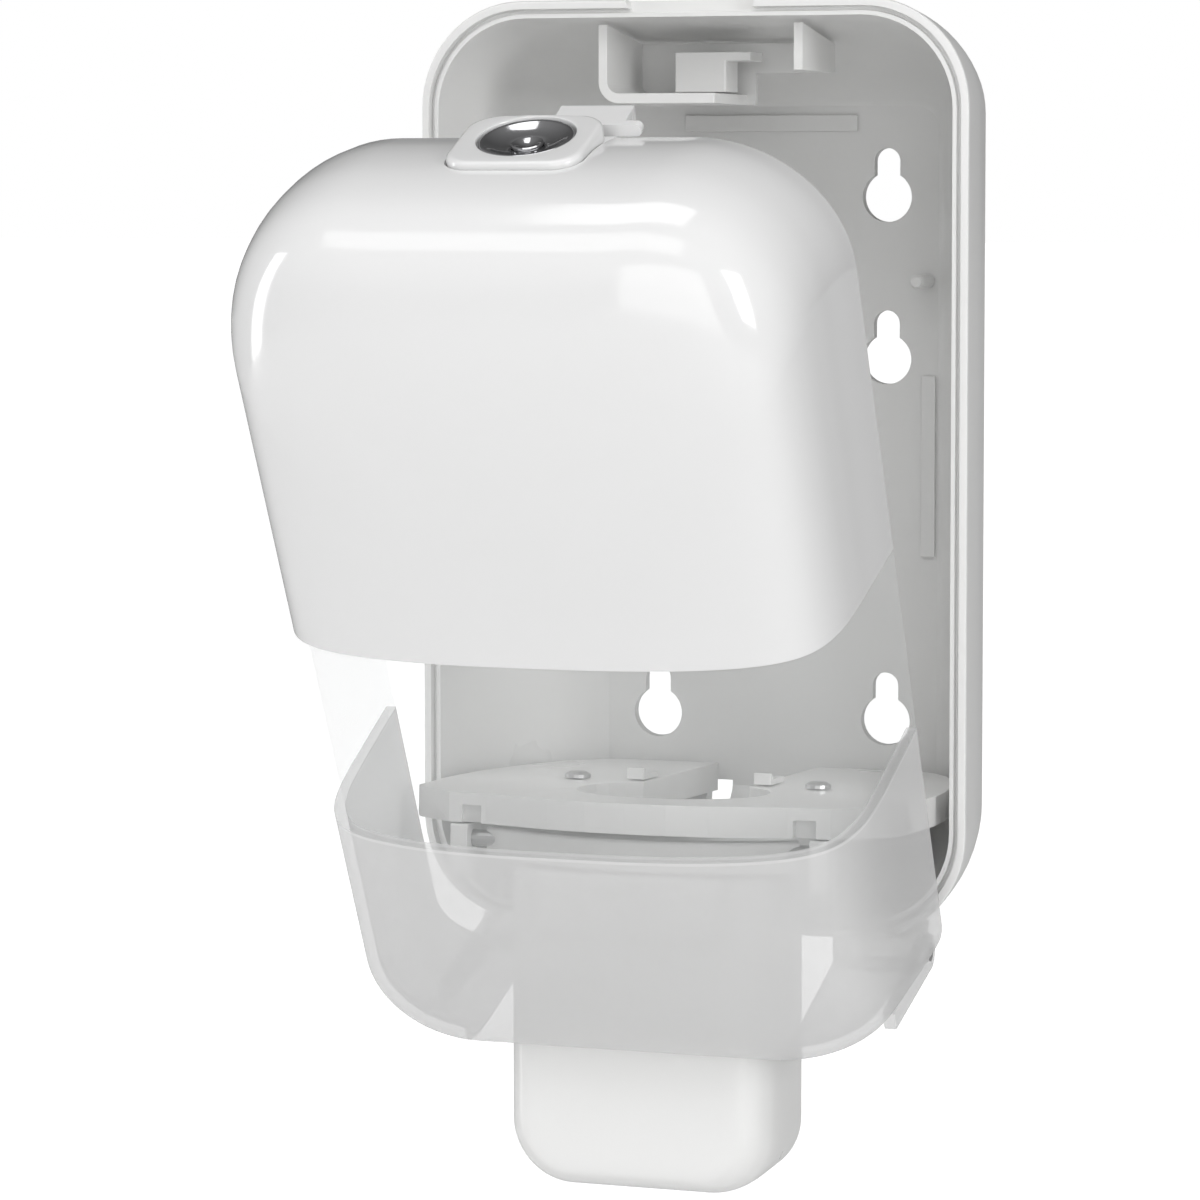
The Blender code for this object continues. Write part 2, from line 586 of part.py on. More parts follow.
def build_latch(home, pivot, white):
    """Make the hook that rocks under the lock, and the tab that fills the housing's notch."""
    rock = home @ Matrix.Translation((0.0, LATCH_PIVOT_Y, LATCH_PIVOT_Z))
    hook_pivot = add_pivot("latch_pivot", rock, pivot)
    top = LATCH_TOP / MM
    under = top - LATCH_THICKNESS / MM
    lip = top - 2.9
    hook = [(-79.0, top), (-35.4, top), (-35.4, lip), (-37.6, lip), (-37.6, under), (-79.0, under)]
    points = [(y * MM - LATCH_PIVOT_Y, z * MM - LATCH_PIVOT_Z) for y, z in hook]
    hook_mesh = prism_mesh("latch_hook", points, -7.0 * MM, 7.0 * MM, "X")
    finish_mesh("latch_hook", hook_mesh, white, hook_pivot)
    outline = rounded_outline(10.8 * MM, 92.3 * MM, 94.6 * MM, 1.0 * MM, 1.0 * MM)
    tab = prism_mesh("latch_tab", outline, -64.1 * MM, -62.5 * MM, "Y")
    aside = Matrix.Translation((6.8 * MM, 0.0, 0.0))
    finish_mesh("latch_tab", move_mesh(tab, home @ aside), white, pivot)


def build_cover(white, clear, chrome):
    """Make the whole cover under its hinge empty, and swing it open."""
    place = Matrix.Translation((0.0, HINGE_Y, HINGE_Z))
    pivot = add_pivot("cover_hinge", place @ Matrix.Rotation(OPEN_ANGLE, 4, "X"))
    home = Matrix.Translation((0.0, -HINGE_Y, -HINGE_Z))
    build_cover_shells(home, pivot, white, clear)
    build_hinge_arms(home, pivot, clear)
    build_lock(home, pivot, white, chrome)
    build_latch(home, pivot, white)


def main():
    """Build the dispenser."""
    clear_scene()
    white = make_material("white_plastic", (0.88, 0.88, 0.87), 0.35)
    gloss = make_material("gloss_white_plastic", (0.93, 0.93, 0.92), 0.12)
    clear = make_material("clear_plastic", (0.86, 0.88, 0.88), 0.2, alpha=0.45)
    chrome = make_material("chrome", (0.75, 0.75, 0.76), 0.08, metallic=1.0)
    steel = make_material("steel", (0.6, 0.6, 0.6), 0.3, metallic=1.0)
    build_housing(white)
    build_latch_bracket(white)
    build_back_details(white)
    build_hinge_brackets(white, steel)
    build_carrier(white, steel)
    build_lever(white, steel)
    build_cover(gloss, clear, chrome)


main()
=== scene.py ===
"""Looks of the wall-mounted soap dispenser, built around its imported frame."""

import json
import logging
import math
from dataclasses import dataclass, field
from enum import Enum

import bpy
import numpy as np
from mathutils import Matrix, Vector


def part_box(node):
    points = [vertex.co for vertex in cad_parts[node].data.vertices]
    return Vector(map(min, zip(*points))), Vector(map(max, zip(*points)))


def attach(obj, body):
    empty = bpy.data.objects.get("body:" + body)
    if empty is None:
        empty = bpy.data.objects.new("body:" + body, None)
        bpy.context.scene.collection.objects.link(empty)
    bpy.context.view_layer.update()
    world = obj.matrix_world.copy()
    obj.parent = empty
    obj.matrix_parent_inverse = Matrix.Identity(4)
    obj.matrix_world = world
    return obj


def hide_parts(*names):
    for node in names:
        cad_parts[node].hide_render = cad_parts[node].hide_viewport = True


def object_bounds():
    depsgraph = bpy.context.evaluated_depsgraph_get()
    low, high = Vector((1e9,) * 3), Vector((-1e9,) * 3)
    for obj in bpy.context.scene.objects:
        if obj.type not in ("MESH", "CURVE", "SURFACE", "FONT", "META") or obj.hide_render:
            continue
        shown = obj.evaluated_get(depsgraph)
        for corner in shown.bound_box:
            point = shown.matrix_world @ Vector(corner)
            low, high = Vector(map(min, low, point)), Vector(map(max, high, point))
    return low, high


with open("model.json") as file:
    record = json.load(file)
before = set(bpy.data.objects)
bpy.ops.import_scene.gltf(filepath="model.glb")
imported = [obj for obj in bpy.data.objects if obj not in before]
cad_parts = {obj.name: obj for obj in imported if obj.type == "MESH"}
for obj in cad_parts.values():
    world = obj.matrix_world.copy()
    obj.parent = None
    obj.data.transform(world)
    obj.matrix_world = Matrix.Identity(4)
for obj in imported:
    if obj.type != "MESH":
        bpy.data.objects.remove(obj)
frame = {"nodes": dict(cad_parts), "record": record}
CAD_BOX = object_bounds()

LOG = logging.getLogger("dispenser")
MM = 0.001
SMOOTH_ANGLE = math.radians(38.0)
BUMP_DISTANCE = 0.1 * MM
WELD_DISTANCE = 0.02 * MM
BEVEL_ANGLE = math.radians(42.0)
BEVEL_SEGMENTS = 3
WHITE = (1.0, 1.0, 1.0, 1.0)


def joint_named(name: str) -> dict:
    """Return a joint of the frame's record by its name."""
    return next(joint for joint in frame["record"]["behaviour"]["joints"] if joint["name"] == name)


class Body(Enum):
    """The rigid bodies that pieces ride on."""

    HOUSING = "housing"
    COVER = "cover"
    LEVER = "lever"
    BUTTON = "lock_button"
    CORE = "lock_core"
    LATCH = "latch"


class Slot(Enum):
    """The record's material slots."""

    SATIN = "white_plastic"
    GLOSS = "gloss_white_plastic"
    CLEAR = "clear_plastic"
    CHROME = "chrome"
    STEEL = "steel"


# Surfaces


def smooth_rows(rows: list[tuple[float, ...]], per_span: int) -> np.ndarray:
    """Draw a smooth curve through rows of values.

    Each span is a Catmull-Rom cubic: it passes through its two end rows, and its slope at each end
    is half the difference of the neighbouring rows.

    Args:
        rows: The rows that the curve passes through.
        per_span: How many steps each span gets.

    Returns:
        An array with one row of values per step.
    """
    points = np.asarray(rows, dtype=float)
    ends = (2 * points[:1] - points[1:2], points, 2 * points[-1:] - points[-2:-1])
    padded = np.vstack(ends)
    span = np.repeat(np.arange(len(points) - 1), per_span)
    t = np.tile(np.arange(per_span) / per_span, len(points) - 1)[:, None]
    before, start, end, after = (padded[span + step] for step in range(4))
    slope = (end - before) * t
    bend = (2 * before - 5 * start + 4 * end - after) * t**2
    twist = (3 * start - before - 3 * end + after) * t**3
    return np.vstack([0.5 * (2 * start + slope + bend + twist), points[-1:]])


def rounded_rings(rows: np.ndarray, arc: int = 16, side: int = 12) -> np.ndarray:
    """Work out rectangles with round corners, one per row.

    A corner point is its arc's centre plus the radius times (cos, sin) of an angle that turns a
    quarter, and a side point lies evenly between the ends of two arcs.

    Args:
        rows: Columns half width, low, high, lower radius and upper radius.
        arc: Points on each corner.
        side: Points between two corners.

    Returns:
        An array of shape (rows, points, 2).
    """
    width, low, high, r_low, r_high = rows.T
    radius = np.stack([r_low, r_low, r_high, r_high], axis=1)
    across = np.stack([r_low - width, width - r_low, width - r_high, r_high - width], axis=1)
    up = np.stack([low + r_low, low + r_low, high - r_high, high - r_high], axis=1)
    start = np.radians([180.0, 270.0, 0.0, 90.0])
    angle = start[:, None] + np.linspace(0.0, math.pi / 2, arc)
    arcs = np.stack(
        [
            across[..., None] + radius[..., None] * np.cos(angle),
            up[..., None] + radius[..., None] * np.sin(angle),
        ],
        axis=-1,
    )
    step = (np.arange(1, side + 1) / (side + 1))[:, None]
    nearer = arcs[:, :, -1:, :]
    farther = np.roll(arcs, -1, axis=1)[:, :, :1, :]
    sides = nearer + (farther - nearer) * step
    return np.concatenate([arcs, sides], axis=2).reshape(len(rows), -1, 2)


def grid_faces(rings: int, count: int, wrap: bool = False) -> np.ndarray:
    """Number the four-sided faces of a grid whose rings are closed.

    Face (i, j) joins points j and j + 1 of ring i to the same points of ring i + 1.

    Args:
        rings: Number of rings.
        count: Points on each ring.
        wrap: Whether the last ring joins the first.

    Returns:
        An array of shape (faces, 4).
    """
    near = np.arange(rings if wrap else rings - 1)[:, None]
    far = (near + 1) % rings
    here = np.arange(count)
    after = (here + 1) % count
    corners = [near * count + here, near * count + after, far * count + after, far * count + here]
    return np.stack(corners, axis=-1).reshape(-1, 4)


def make_object(name: str, points: np.ndarray, faces: list[list[int]]) -> bpy.types.Object:
    """Put points and faces into a new object, its faces turned outward.

    The signed volume is a sixth of the sum of the triple products of each fan triangle, and a
    negative sum means that the faces point inward.

    Args:
        name: Name of the object.
        points: Array of places in metres.
        faces: Corner numbers of each face.

    Returns:
        The linked object.
    """
    volume = 0.0
    for corner in (1, 2):
        fans = np.array([[f[0], f[corner], f[corner + 1]] for f in faces if len(f) > corner + 1])
        if len(fans):
            a, b, c = (points[fans[:, k]] for k in range(3))
            volume += float(np.sum(a * np.cross(b, c)))
    turned = [face[::-1] for face in faces] if volume < 0 else faces
    mesh = bpy.data.meshes.new(name)
    mesh.from_pydata(points.tolist(), [], turned)
    mesh.update()
    item = bpy.data.objects.new(name, mesh)
    bpy.context.scene.collection.objects.link(item)
    return item


def closed_loft(name: str, rings: np.ndarray) -> bpy.types.Object:
    """Skin a stack of rings and close both ends at a pole in the middle of the end ring.

    Args:
        name: Name of the object.
        rings: Array of shape (rings, points, 3).

    Returns:
        The linked object.
    """
    total, count, _ = rings.shape
    poles = np.stack([rings[0].mean(axis=0), rings[-1].mean(axis=0)])
    points = np.vstack([rings.reshape(-1, 3), poles])
    faces = grid_faces(total, count).tolist()
    here = np.arange(count)
    after = (here + 1) % count
    first = total * count
    last = (total - 1) * count
    faces += np.stack([np.full(count, first), after, here], axis=1).tolist()
    faces += np.stack([np.full(count, first + 1), last + here, last + after], axis=1).tolist()
    return make_object(name, points, faces)


def ring_loft(name: str, rings: np.ndarray) -> bpy.types.Object:
    """Skin a stack of rings whose last ring joins the first, as on a washer."""
    total, count, _ = rings.shape
    return make_object(name, rings.reshape(-1, 3), grid_faces(total, count, wrap=True).tolist())


def prism(name: str, outline: np.ndarray, low: float, high: float) -> bpy.types.Object:
    """Carry an (x, z) outline straight along Y from low to high."""
    ends = [np.column_stack([outline[:, 0], np.full(len(outline), y), outline[:, 1]]) for y in (low, high)]
    return closed_loft(name, np.stack(ends))


def carve(item: bpy.types.Object, cutters: list[bpy.types.Object]) -> None:
    """Cut pieces out of an object for good, and remove the cutters."""
    for cutter in cutters:
        modifier = item.modifiers.new("opening", "BOOLEAN")
        modifier.operation = "DIFFERENCE"
        modifier.solver = "EXACT"
        modifier.object = cutter
    bpy.context.view_layer.update()
    shape = item.evaluated_get(bpy.context.evaluated_depsgraph_get())
    mesh = bpy.data.meshes.new_from_object(shape)
    item.modifiers.clear()
    item.data = mesh
    for cutter in cutters:
        bpy.data.objects.remove(cutter, do_unlink=True)


def finish_piece(
    item: bpy.types.Object, body: Body, slot: Slot, material: bpy.types.Material, *nodes: str
) -> None:
    """Smooth, dress and place a piece on its body, in place of the nodes that it stands for.

    Args:
        item: The piece.
        body: The body that it rides on.
        slot: The record's material slot for the piece; not used.
        material: Its material.
        nodes: The frame's nodes that it replaces.
    """
    item.data.materials.clear()
    item.data.materials.append(material)
    item.data.shade_smooth()
    item.data.set_sharp_from_angle(angle=SMOOTH_ANGLE)
    shading = item.modifiers.new("even_shading", "WEIGHTED_NORMAL")
    shading.keep_sharp = True
    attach(item, body.value)
    if nodes:
        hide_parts(*nodes)
    LOG.info("%s rides on %s", item.name, body.value)


# Finishes


class Shades:
    """Node groups that several materials share, each built once."""

    def __init__(self) -> None:
        """Build the groups."""
        self.moulded = self._moulded()

    @staticmethod
    def _moulded() -> bpy.types.ShaderNodeTree:
        """Return the group for a moulded or polished surface: cloudiness, grain and wear."""
        tree = bpy.data.node_groups.new("moulded_surface", "ShaderNodeTree")
        for name, kind in (
            ("Colour", "NodeSocketColor"),
            ("Shadow Colour", "NodeSocketColor"),
            ("Roughness", "NodeSocketFloat"),
            ("Roughness Spread", "NodeSocketFloat"),
            ("Grain Scale", "NodeSocketFloat"),
        ):
            tree.interface.new_socket(name, in_out="INPUT", socket_type=kind)
        for name, kind in (
            ("Colour", "NodeSocketColor"),
            ("Roughness", "NodeSocketFloat"),
            ("Height", "NodeSocketFloat"),
        ):
            tree.interface.new_socket(name, in_out="OUTPUT", socket_type=kind)
        nodes, links = tree.nodes, tree.links
        source = nodes.new("NodeGroupInput")
        target = nodes.new("NodeGroupOutput")
        place = nodes.new("ShaderNodeTexCoord")
        cloud = nodes.new("ShaderNodeTexNoise")
        cloud.inputs["Scale"].default_value = 28.0
        cloud.inputs["Detail"].default_value = 4.0
        grain = nodes.new("ShaderNodeTexNoise")
        grain.inputs["Detail"].default_value = 2.0
        mix = nodes.new("ShaderNodeMix")
        mix.data_type = "RGBA"
        spread = nodes.new("ShaderNodeMath")
        spread.operation = "MULTIPLY_ADD"
        links.new(place.outputs["Object"], cloud.inputs["Vector"])
        links.new(place.outputs["Object"], grain.inputs["Vector"])
        links.new(source.outputs["Grain Scale"], grain.inputs["Scale"])
        links.new(cloud.outputs["Fac"], mix.inputs["Factor"])
        links.new(source.outputs["Colour"], mix.inputs[6])
        links.new(source.outputs["Shadow Colour"], mix.inputs[7])
        links.new(cloud.outputs["Fac"], spread.inputs[0])
        links.new(source.outputs["Roughness Spread"], spread.inputs[1])
        links.new(source.outputs["Roughness"], spread.inputs[2])
        links.new(mix.outputs[2], target.inputs["Colour"])
        links.new(spread.outputs[0], target.inputs["Roughness"])
        links.new(grain.outputs["Fac"], target.inputs["Height"])
        return tree


@dataclass(frozen=True)
class Finish:
    """A surface with slight cloudiness, fine grain and a little variation in gloss."""

    name: str
    colour: tuple[float, float, float]
    shade: tuple[float, float, float]
    roughness: float
    spread: float
    grain_scale: float
    bump: float
    metallic: float = 0.0
    coat: float = 0.0

    def build(self, shades: Shades) -> bpy.types.Material:
        """Return the material.

        Args:
            shades: The shared node groups.

        Returns:
            A node material.
        """
        material = bpy.data.materials.new(self.name)
        material.use_nodes = True
        nodes, links = material.node_tree.nodes, material.node_tree.links
        shader = nodes["Principled BSDF"]
        shader.inputs["Metallic"].default_value = self.metallic
        shader.inputs["Coat Weight"].default_value = self.coat
        shader.inputs["Coat Roughness"].default_value = 0.05
        group = nodes.new("ShaderNodeGroup")
        group.node_tree = shades.moulded
        group.inputs["Colour"].default_value = (*self.colour, 1.0)
        group.inputs["Shadow Colour"].default_value = (*self.shade, 1.0)
        group.inputs["Roughness"].default_value = self.roughness
        group.inputs["Roughness Spread"].default_value = self.spread
        group.inputs["Grain Scale"].default_value = self.grain_scale
        bump = nodes.new("ShaderNodeBump")
        bump.inputs["Strength"].default_value = self.bump
        bump.inputs["Distance"].default_value = BUMP_DISTANCE
        links.new(group.outputs["Colour"], shader.inputs["Base Color"])
        links.new(group.outputs["Roughness"], shader.inputs["Roughness"])
        links.new(group.outputs["Height"], bump.inputs["Height"])
        links.new(bump.outputs["Normal"], shader.inputs["Normal"])
        return material


@dataclass(frozen=True)
class TwoZoneClear:
    """Clear plastic that is polished above a slanting line and frosted below it, with a painted highlight
    band along the line.
    """

    name: str = "clear_and_frosted_plastic"
    clear: tuple[float, float, float] = (0.86, 0.88, 0.88)
    frosted: tuple[float, float, float] = (0.76, 0.76, 0.76)
    # edge and the band's alpha: a painted highlight, a lighter and more opaque band along the frost line that
    # stands in for light caught by the frosting's ledge
    edge: tuple[float, float, float] = (0.78, 0.78, 0.78)
    clear_alpha: float = 0.1
    frosted_alpha: float = 0.56
    highlight_band_alpha: float = 0.66
    frosted_roughness: float = 0.42
    clear_roughness: float = 0.06
    grain_scale: float = 1500.0
    bump: float = 0.06
    half_span: float = 10.0 * MM

    def build(self, shades: Shades, point: Vector, normal: Vector) -> bpy.types.Material:
        """Return the material.

        The signed distance from the line's plane is the dot product of the place with the plane's
        normal, less the same for a point on the plane.

        Args:
            shades: The shared node groups.
            point: A point on the plane between the zones.
            normal: The plane's unit normal, towards the clear zone.

        Returns:
            A node material.
        """
        material = bpy.data.materials.new(self.name)
        material.use_nodes = True
        nodes, links = material.node_tree.nodes, material.node_tree.links
        shader = nodes["Principled BSDF"]
        place = nodes.new("ShaderNodeTexCoord")
        dot = nodes.new("ShaderNodeVectorMath")
        dot.operation = "DOT_PRODUCT"
        dot.inputs[1].default_value = normal
        span = nodes.new("ShaderNodeMapRange")
        centre = point.dot(normal)
        span.inputs["From Min"].default_value = centre - self.half_span
        span.inputs["From Max"].default_value = centre + self.half_span
        links.new(place.outputs["Object"], dot.inputs[0])
        links.new(dot.outputs["Value"], span.inputs["Value"])
        # The edge stops paint a highlight band between the frosted and the clear zones.
        zones = ((0.465, self.frosted), (0.48, self.edge), (0.5, self.edge), (0.51, self.clear))
        colour = self._ramp(nodes, [(at, (*tone, 1.0)) for at, tone in zones])
        values = [(0.465, self.frosted_alpha), (0.48, self.highlight_band_alpha), (0.5, self.highlight_band_alpha)]
        values.append((0.51, self.clear_alpha))
        alpha = self._ramp(nodes, [(at, (value,) * 3 + (1.0,)) for at, value in values])
        values = ((0.47, self.frosted_roughness), (0.5, self.clear_roughness))
        gloss = self._ramp(nodes, [(at, (value,) * 3 + (1.0,)) for at, value in values])
        for ramp in (colour, alpha, gloss):
            links.new(span.outputs["Result"], ramp.inputs["Fac"])
        group = nodes.new("ShaderNodeGroup")
        group.node_tree = shades.moulded
        group.inputs["Grain Scale"].default_value = self.grain_scale
        bump = nodes.new("ShaderNodeBump")
        bump.inputs["Strength"].default_value = self.bump
        bump.inputs["Distance"].default_value = BUMP_DISTANCE
        links.new(colour.outputs["Color"], shader.inputs["Base Color"])
        links.new(alpha.outputs["Color"], shader.inputs["Alpha"])
        links.new(gloss.outputs["Color"], shader.inputs["Roughness"])
        links.new(group.outputs["Height"], bump.inputs["Height"])
        links.new(bump.outputs["Normal"], shader.inputs["Normal"])
        return material

    @staticmethod
    def _ramp(nodes: bpy.types.Nodes, stops: list[tuple[float, tuple[float, ...]]]) -> bpy.types.Node:
        """Return a colour ramp with the given stops."""
        ramp = nodes.new("ShaderNodeValToRGB")
        elements = ramp.color_ramp.elements
        while len(elements) < len(stops):
            elements.new(0.5)
        for element, (at, tone) in zip(elements, stops):
            element.position = at
            element.color = tone
        return ramp


SATIN_WHITE = Finish(
    name="satin_white", colour=(0.80, 0.80, 0.79), shade=(0.77, 0.77, 0.765),
    roughness=0.24, spread=0.1, grain_scale=1400.0, bump=0.12,
)
GLOSS_WHITE = Finish(
    name="gloss_white", colour=(0.78, 0.78, 0.78), shade=(0.765, 0.765, 0.765),
    roughness=0.1, spread=0.05, grain_scale=700.0, bump=0.03, coat=0.4,
)
POLISHED_CHROME = Finish(
    name="polished_chrome", colour=(0.5, 0.5, 0.51), shade=(0.42, 0.42, 0.43),
    roughness=0.06, spread=0.08, grain_scale=2200.0, bump=0.05, metallic=1.0,
)
ZINC_STEEL = Finish(
    name="zinc_steel", colour=(0.6, 0.6, 0.6), shade=(0.5, 0.5, 0.5),
    roughness=0.22, spread=0.2, grain_scale=1800.0, bump=0.15, metallic=1.0,
)
FLOOR_PAINT = Finish(
    name="floor_paint", colour=(0.93, 0.93, 0.93), shade=(0.92, 0.92, 0.92),
    roughness=0.7, spread=0.1, grain_scale=60.0, bump=0.02,
)


# Sub-assemblies


@dataclass
class Housing:
    """The deep tub that hangs on the wall, with keyholes and drain windows in its back."""

    half_width: float = 56.0
    half_height: float = 92.0
    depth: float = 63.5
    corner: float = 21.0
    back: float = 2.7
    keyhole_x: float = 25.0
    keyhole_rows: tuple[float, ...] = (53.1, 19.2, -57.0)
    keyhole_radius: float = 5.25
    slot_half: float = 2.75
    slot_top: float = 10.2
    outer: list[tuple[float, float]] = field(default_factory=lambda: [
        (0.0, 17.0), (-1.2, 15.0), (-5.0, 12.0), (-14.0, 8.0),
        (-26.0, 5.0), (-38.0, 2.7), (-50.0, 1.0), (-62.9, 0.0),
    ])
    inner: list[tuple[float, float]] = field(default_factory=lambda: [
        (-62.9, 3.4), (-50.0, 4.4), (-38.0, 6.0), (-26.0, 8.2),
        (-14.0, 11.8), (-7.0, 15.5), (-3.6, 18.5), (-2.7, 20.1),
    ])

    def rings(self) -> np.ndarray:
        """Return the tub's rings, from its back round the rim and down its inside, in metres."""
        rim = -self.depth
        lip = [(rim + 0.15, 0.15), (rim, 0.5), (rim, 1.6)]
        lip += [(rim + 1.7, 1.8), (rim + 1.7, 2.4), (rim + 0.6, 2.6)]
        rows = np.vstack([smooth_rows(self.outer, 6), lip, smooth_rows(self.inner, 6)])
        y, inset = rows.T
        radius = self.corner - 0.8 * inset
        height = self.half_height - inset
        flat = rounded_rings(np.stack([self.half_width - inset, -height, height, radius, radius], axis=1))
        depth = np.broadcast_to(y[:, None], flat.shape[:2])
        return np.stack([flat[..., 0], depth, flat[..., 1]], axis=-1) * MM

    def keyhole(self, x: float, z: float) -> np.ndarray:
        """Return a keyhole's outline: most of a circle, and a slot that ends in a half circle."""
        join = math.acos(self.slot_half / self.keyhole_radius)
        turn = np.linspace(math.pi - join, 2 * math.pi + join, 40)
        ring = np.column_stack([np.cos(turn), np.sin(turn)]) * self.keyhole_radius + (x, z)
        turn = np.linspace(0.0, math.pi, 18)
        middle = z + self.slot_top - self.slot_half
        slot = np.column_stack([np.cos(turn), np.sin(turn)]) * self.slot_half + (x, middle)
        return np.vstack([ring, slot]) * MM

    def openings(self) -> list[bpy.types.Object]:
        """Return the cutters for keyholes, windows and lock notch."""
        cutters = []
        for row, z in enumerate(self.keyhole_rows):
            for sign in (-1.0, 1.0):
                outline = self.keyhole(sign * self.keyhole_x, z)
                cutters.append(prism(f"keyhole_{row}", outline, -6 * MM, 2 * MM))
        for sign in (-1.0, 1.0):
            near, far = sorted((sign * 8.4, sign * 13.7))
            corners = np.array([(near, -79.0), (far, -79.0), (far, -71.0), (near, -71.0)]) * MM
            cutters.append(prism("window", corners, -6 * MM, 2 * MM))
        corners = np.array([(-14.0, 95.0), (-12.6, 89.9), (12.6, 89.9), (14.0, 95.0)]) * MM
        cutters.append(prism("notch", corners, -70 * MM, -60.5 * MM))
        return cutters

    def build(self, material: bpy.types.Material) -> None:
        """Make the tub and cut its openings."""
        tub = closed_loft("housing_tub", self.rings())
        carve(tub, self.openings())
        finish_piece(tub, Body.HOUSING, Slot.SATIN, material, "rear_housing")


@dataclass
class Cover:
    """The bowed cover: a gloss upper shell, and a lower shell that is clear and then frosted.

    Sizes are of the closed cover, which the hinge then turns open.
    """

    half_width: float = 53.0
    rear: float = -63.9
    wall: float = 2.0
    seam_reach: float = 50.0
    seam_front: float = 14.0
    seam_slope: float = 7.5
    frost_front: float = -27.7
    frost_slope: float = 5.7
    gap: float = 0.3
    rows: list[tuple[float, ...]] = field(default_factory=lambda: [
        (51.5, 50.0, 34.0, -24.0, 2.0, 2.0),
        (51.4, 41.0, 47.0, -37.0, 9.0, 9.0),
        (50.9, 31.0, 59.0, -49.0, 18.0, 15.0),
        (49.8, 22.0, 69.5, -60.0, 22.0, 18.0),
        (48.1, 14.5, 78.5, -69.0, 25.0, 20.0),
        (45.6, 8.8, 86.0, -75.5, 26.0, 20.0),
        (42.4, 5.2, 91.0, -79.5, 26.0, 19.0),
        (38.0, 2.9, 94.6, -82.0, 26.0, 17.0),
        (32.0, 1.5, 96.8, -83.8, 26.0, 15.0),
        (24.0, 0.8, 97.4, -85.4, 26.0, 14.0),
        (16.0, 0.5, 96.6, -87.0, 26.0, 13.0),
        (8.0, 0.2, 94.8, -88.6, 26.0, 12.0),
        (0.0, 0.0, 92.0, -90.0, 26.0, 11.0),
    ])

    def __post_init__(self) -> None:
        """Read the hinge from the frame's record."""
        hinge = joint_named("cover_hinge")
        place = Vector(hinge["pos_m"])
        turn = Matrix.Rotation(math.radians(-hinge["range_deg"][0]), 4, "X")
        self.open = Matrix.Translation(place) @ turn @ Matrix.Translation(-place)

    def opened(self, points: np.ndarray) -> np.ndarray:
        """Return closed-cover points in metres, turned to the open place."""
        turn = np.array(self.open)
        return points @ turn[:3, :3].T + turn[:3, 3]

    def rings(self) -> np.ndarray:
        """Return the shell's rings, from its front out to the rear edge and back inside.

        The inner rings are the outer ones drawn in by the wall, and their depth is less by the
        wall times the cube of how far forward they are.
        """
        rows = smooth_rows(self.rows, 5)
        reach, inset, high, low, r_high, r_low = rows.T
        outer = rounded_rings(np.stack([self.half_width - inset, low, high, r_low, r_high], axis=1), 20, 14)
        wall = self.wall
        thin = [self.half_width - inset - wall, low + wall, high - wall]
        thin += [r_low - 0.8 * wall, r_high - 0.8 * wall]
        radii = [np.clip(radius, 0.4, None) for radius in thin[3:]]
        thin = np.stack([np.maximum(thin[0], 0.6), thin[1], thin[2]] + radii, axis=1)
        inner = rounded_rings(thin, 20, 14)[::-1]
        depth = np.maximum(0.0, reach - wall * (reach / reach[0]) ** 3)[::-1]
        flat = np.concatenate([outer, inner])
        y = self.rear - np.concatenate([reach, depth])
        y = np.broadcast_to(y[:, None], flat.shape[:2])
        return np.stack([flat[..., 0], y, flat[..., 1]], axis=-1) * MM

    def seam_block(self, above: bool) -> bpy.types.Object:
        """Return a block on one side of the seam between the shells."""
        size = 200.0
        low, high = (-self.gap / 2, size) if above else (-size, self.gap / 2)
        corners = np.array([(-size, -size), (size, -size), (size, size), (-size, size)])
        ends = [np.column_stack([corners, np.full(4, z)]) for z in (low, high)]
        slope = np.array(Matrix.Rotation(math.radians(-self.seam_slope), 3, "X"))
        front = np.array([0.0, self.rear - self.seam_reach, self.seam_front])
        points = np.stack(ends) @ slope.T + front
        return closed_loft("seam", self.opened(points * MM))

    def box_block(self, x: float, y: tuple[float, float], z: tuple[float, float]) -> bpy.types.Object:
        """Return a block across the closed cover, turned open with it."""
        corners = np.array([(-x, y[0]), (x, y[0]), (x, y[1]), (-x, y[1])])
        ends = [np.column_stack([corners, np.full(4, height)]) for height in z]
        return closed_loft("block", self.opened(np.stack(ends) * MM))

    def lock_well(self) -> bpy.types.Object:
        """Return the cutter for the lock's well, on the lock's own axis."""
        rows = np.array([(12.6, -12.2, 12.0, 5.0, 3.0)])
        flat = rounded_rings(rows)[0]
        ends = [np.column_stack([flat, np.full(len(flat), z)]) for z in (-16.0, 9.0)]
        return closed_loft("well", PressLock().placed(np.stack(ends)))

    def build(self, gloss: bpy.types.Material, shades: Shades) -> None:
        """Make both shells."""
        shell = self.opened(self.rings())
        upper = closed_loft("cover_upper", shell)
        carve(upper, [self.seam_block(False), self.lock_well()])
        finish_piece(upper, Body.COVER, Slot.GLOSS, gloss, "cover_upper_shell")
        lower = closed_loft("cover_lower", shell)
        carve(lower, [self.seam_block(True), self.box_block(31.0, (-106.5, -50.0), (-110.0, -68.0))])
        turn = self.open.to_3x3()
        slope = Matrix.Rotation(math.radians(-self.frost_slope), 3, "X")
        normal = (turn @ slope @ Vector((0.0, 0.0, 1.0))).normalized()
        point = self.open @ (Vector((0.0, self.rear - self.seam_reach, self.frost_front)) * MM)
        clear = TwoZoneClear().build(shades, point, normal)
        finish_piece(lower, Body.COVER, Slot.CLEAR, clear, "cover_lower_shell")
        for side in ("left", "right"):
            dress_node(f"hinge_arm_{side}", clear, 0.2)


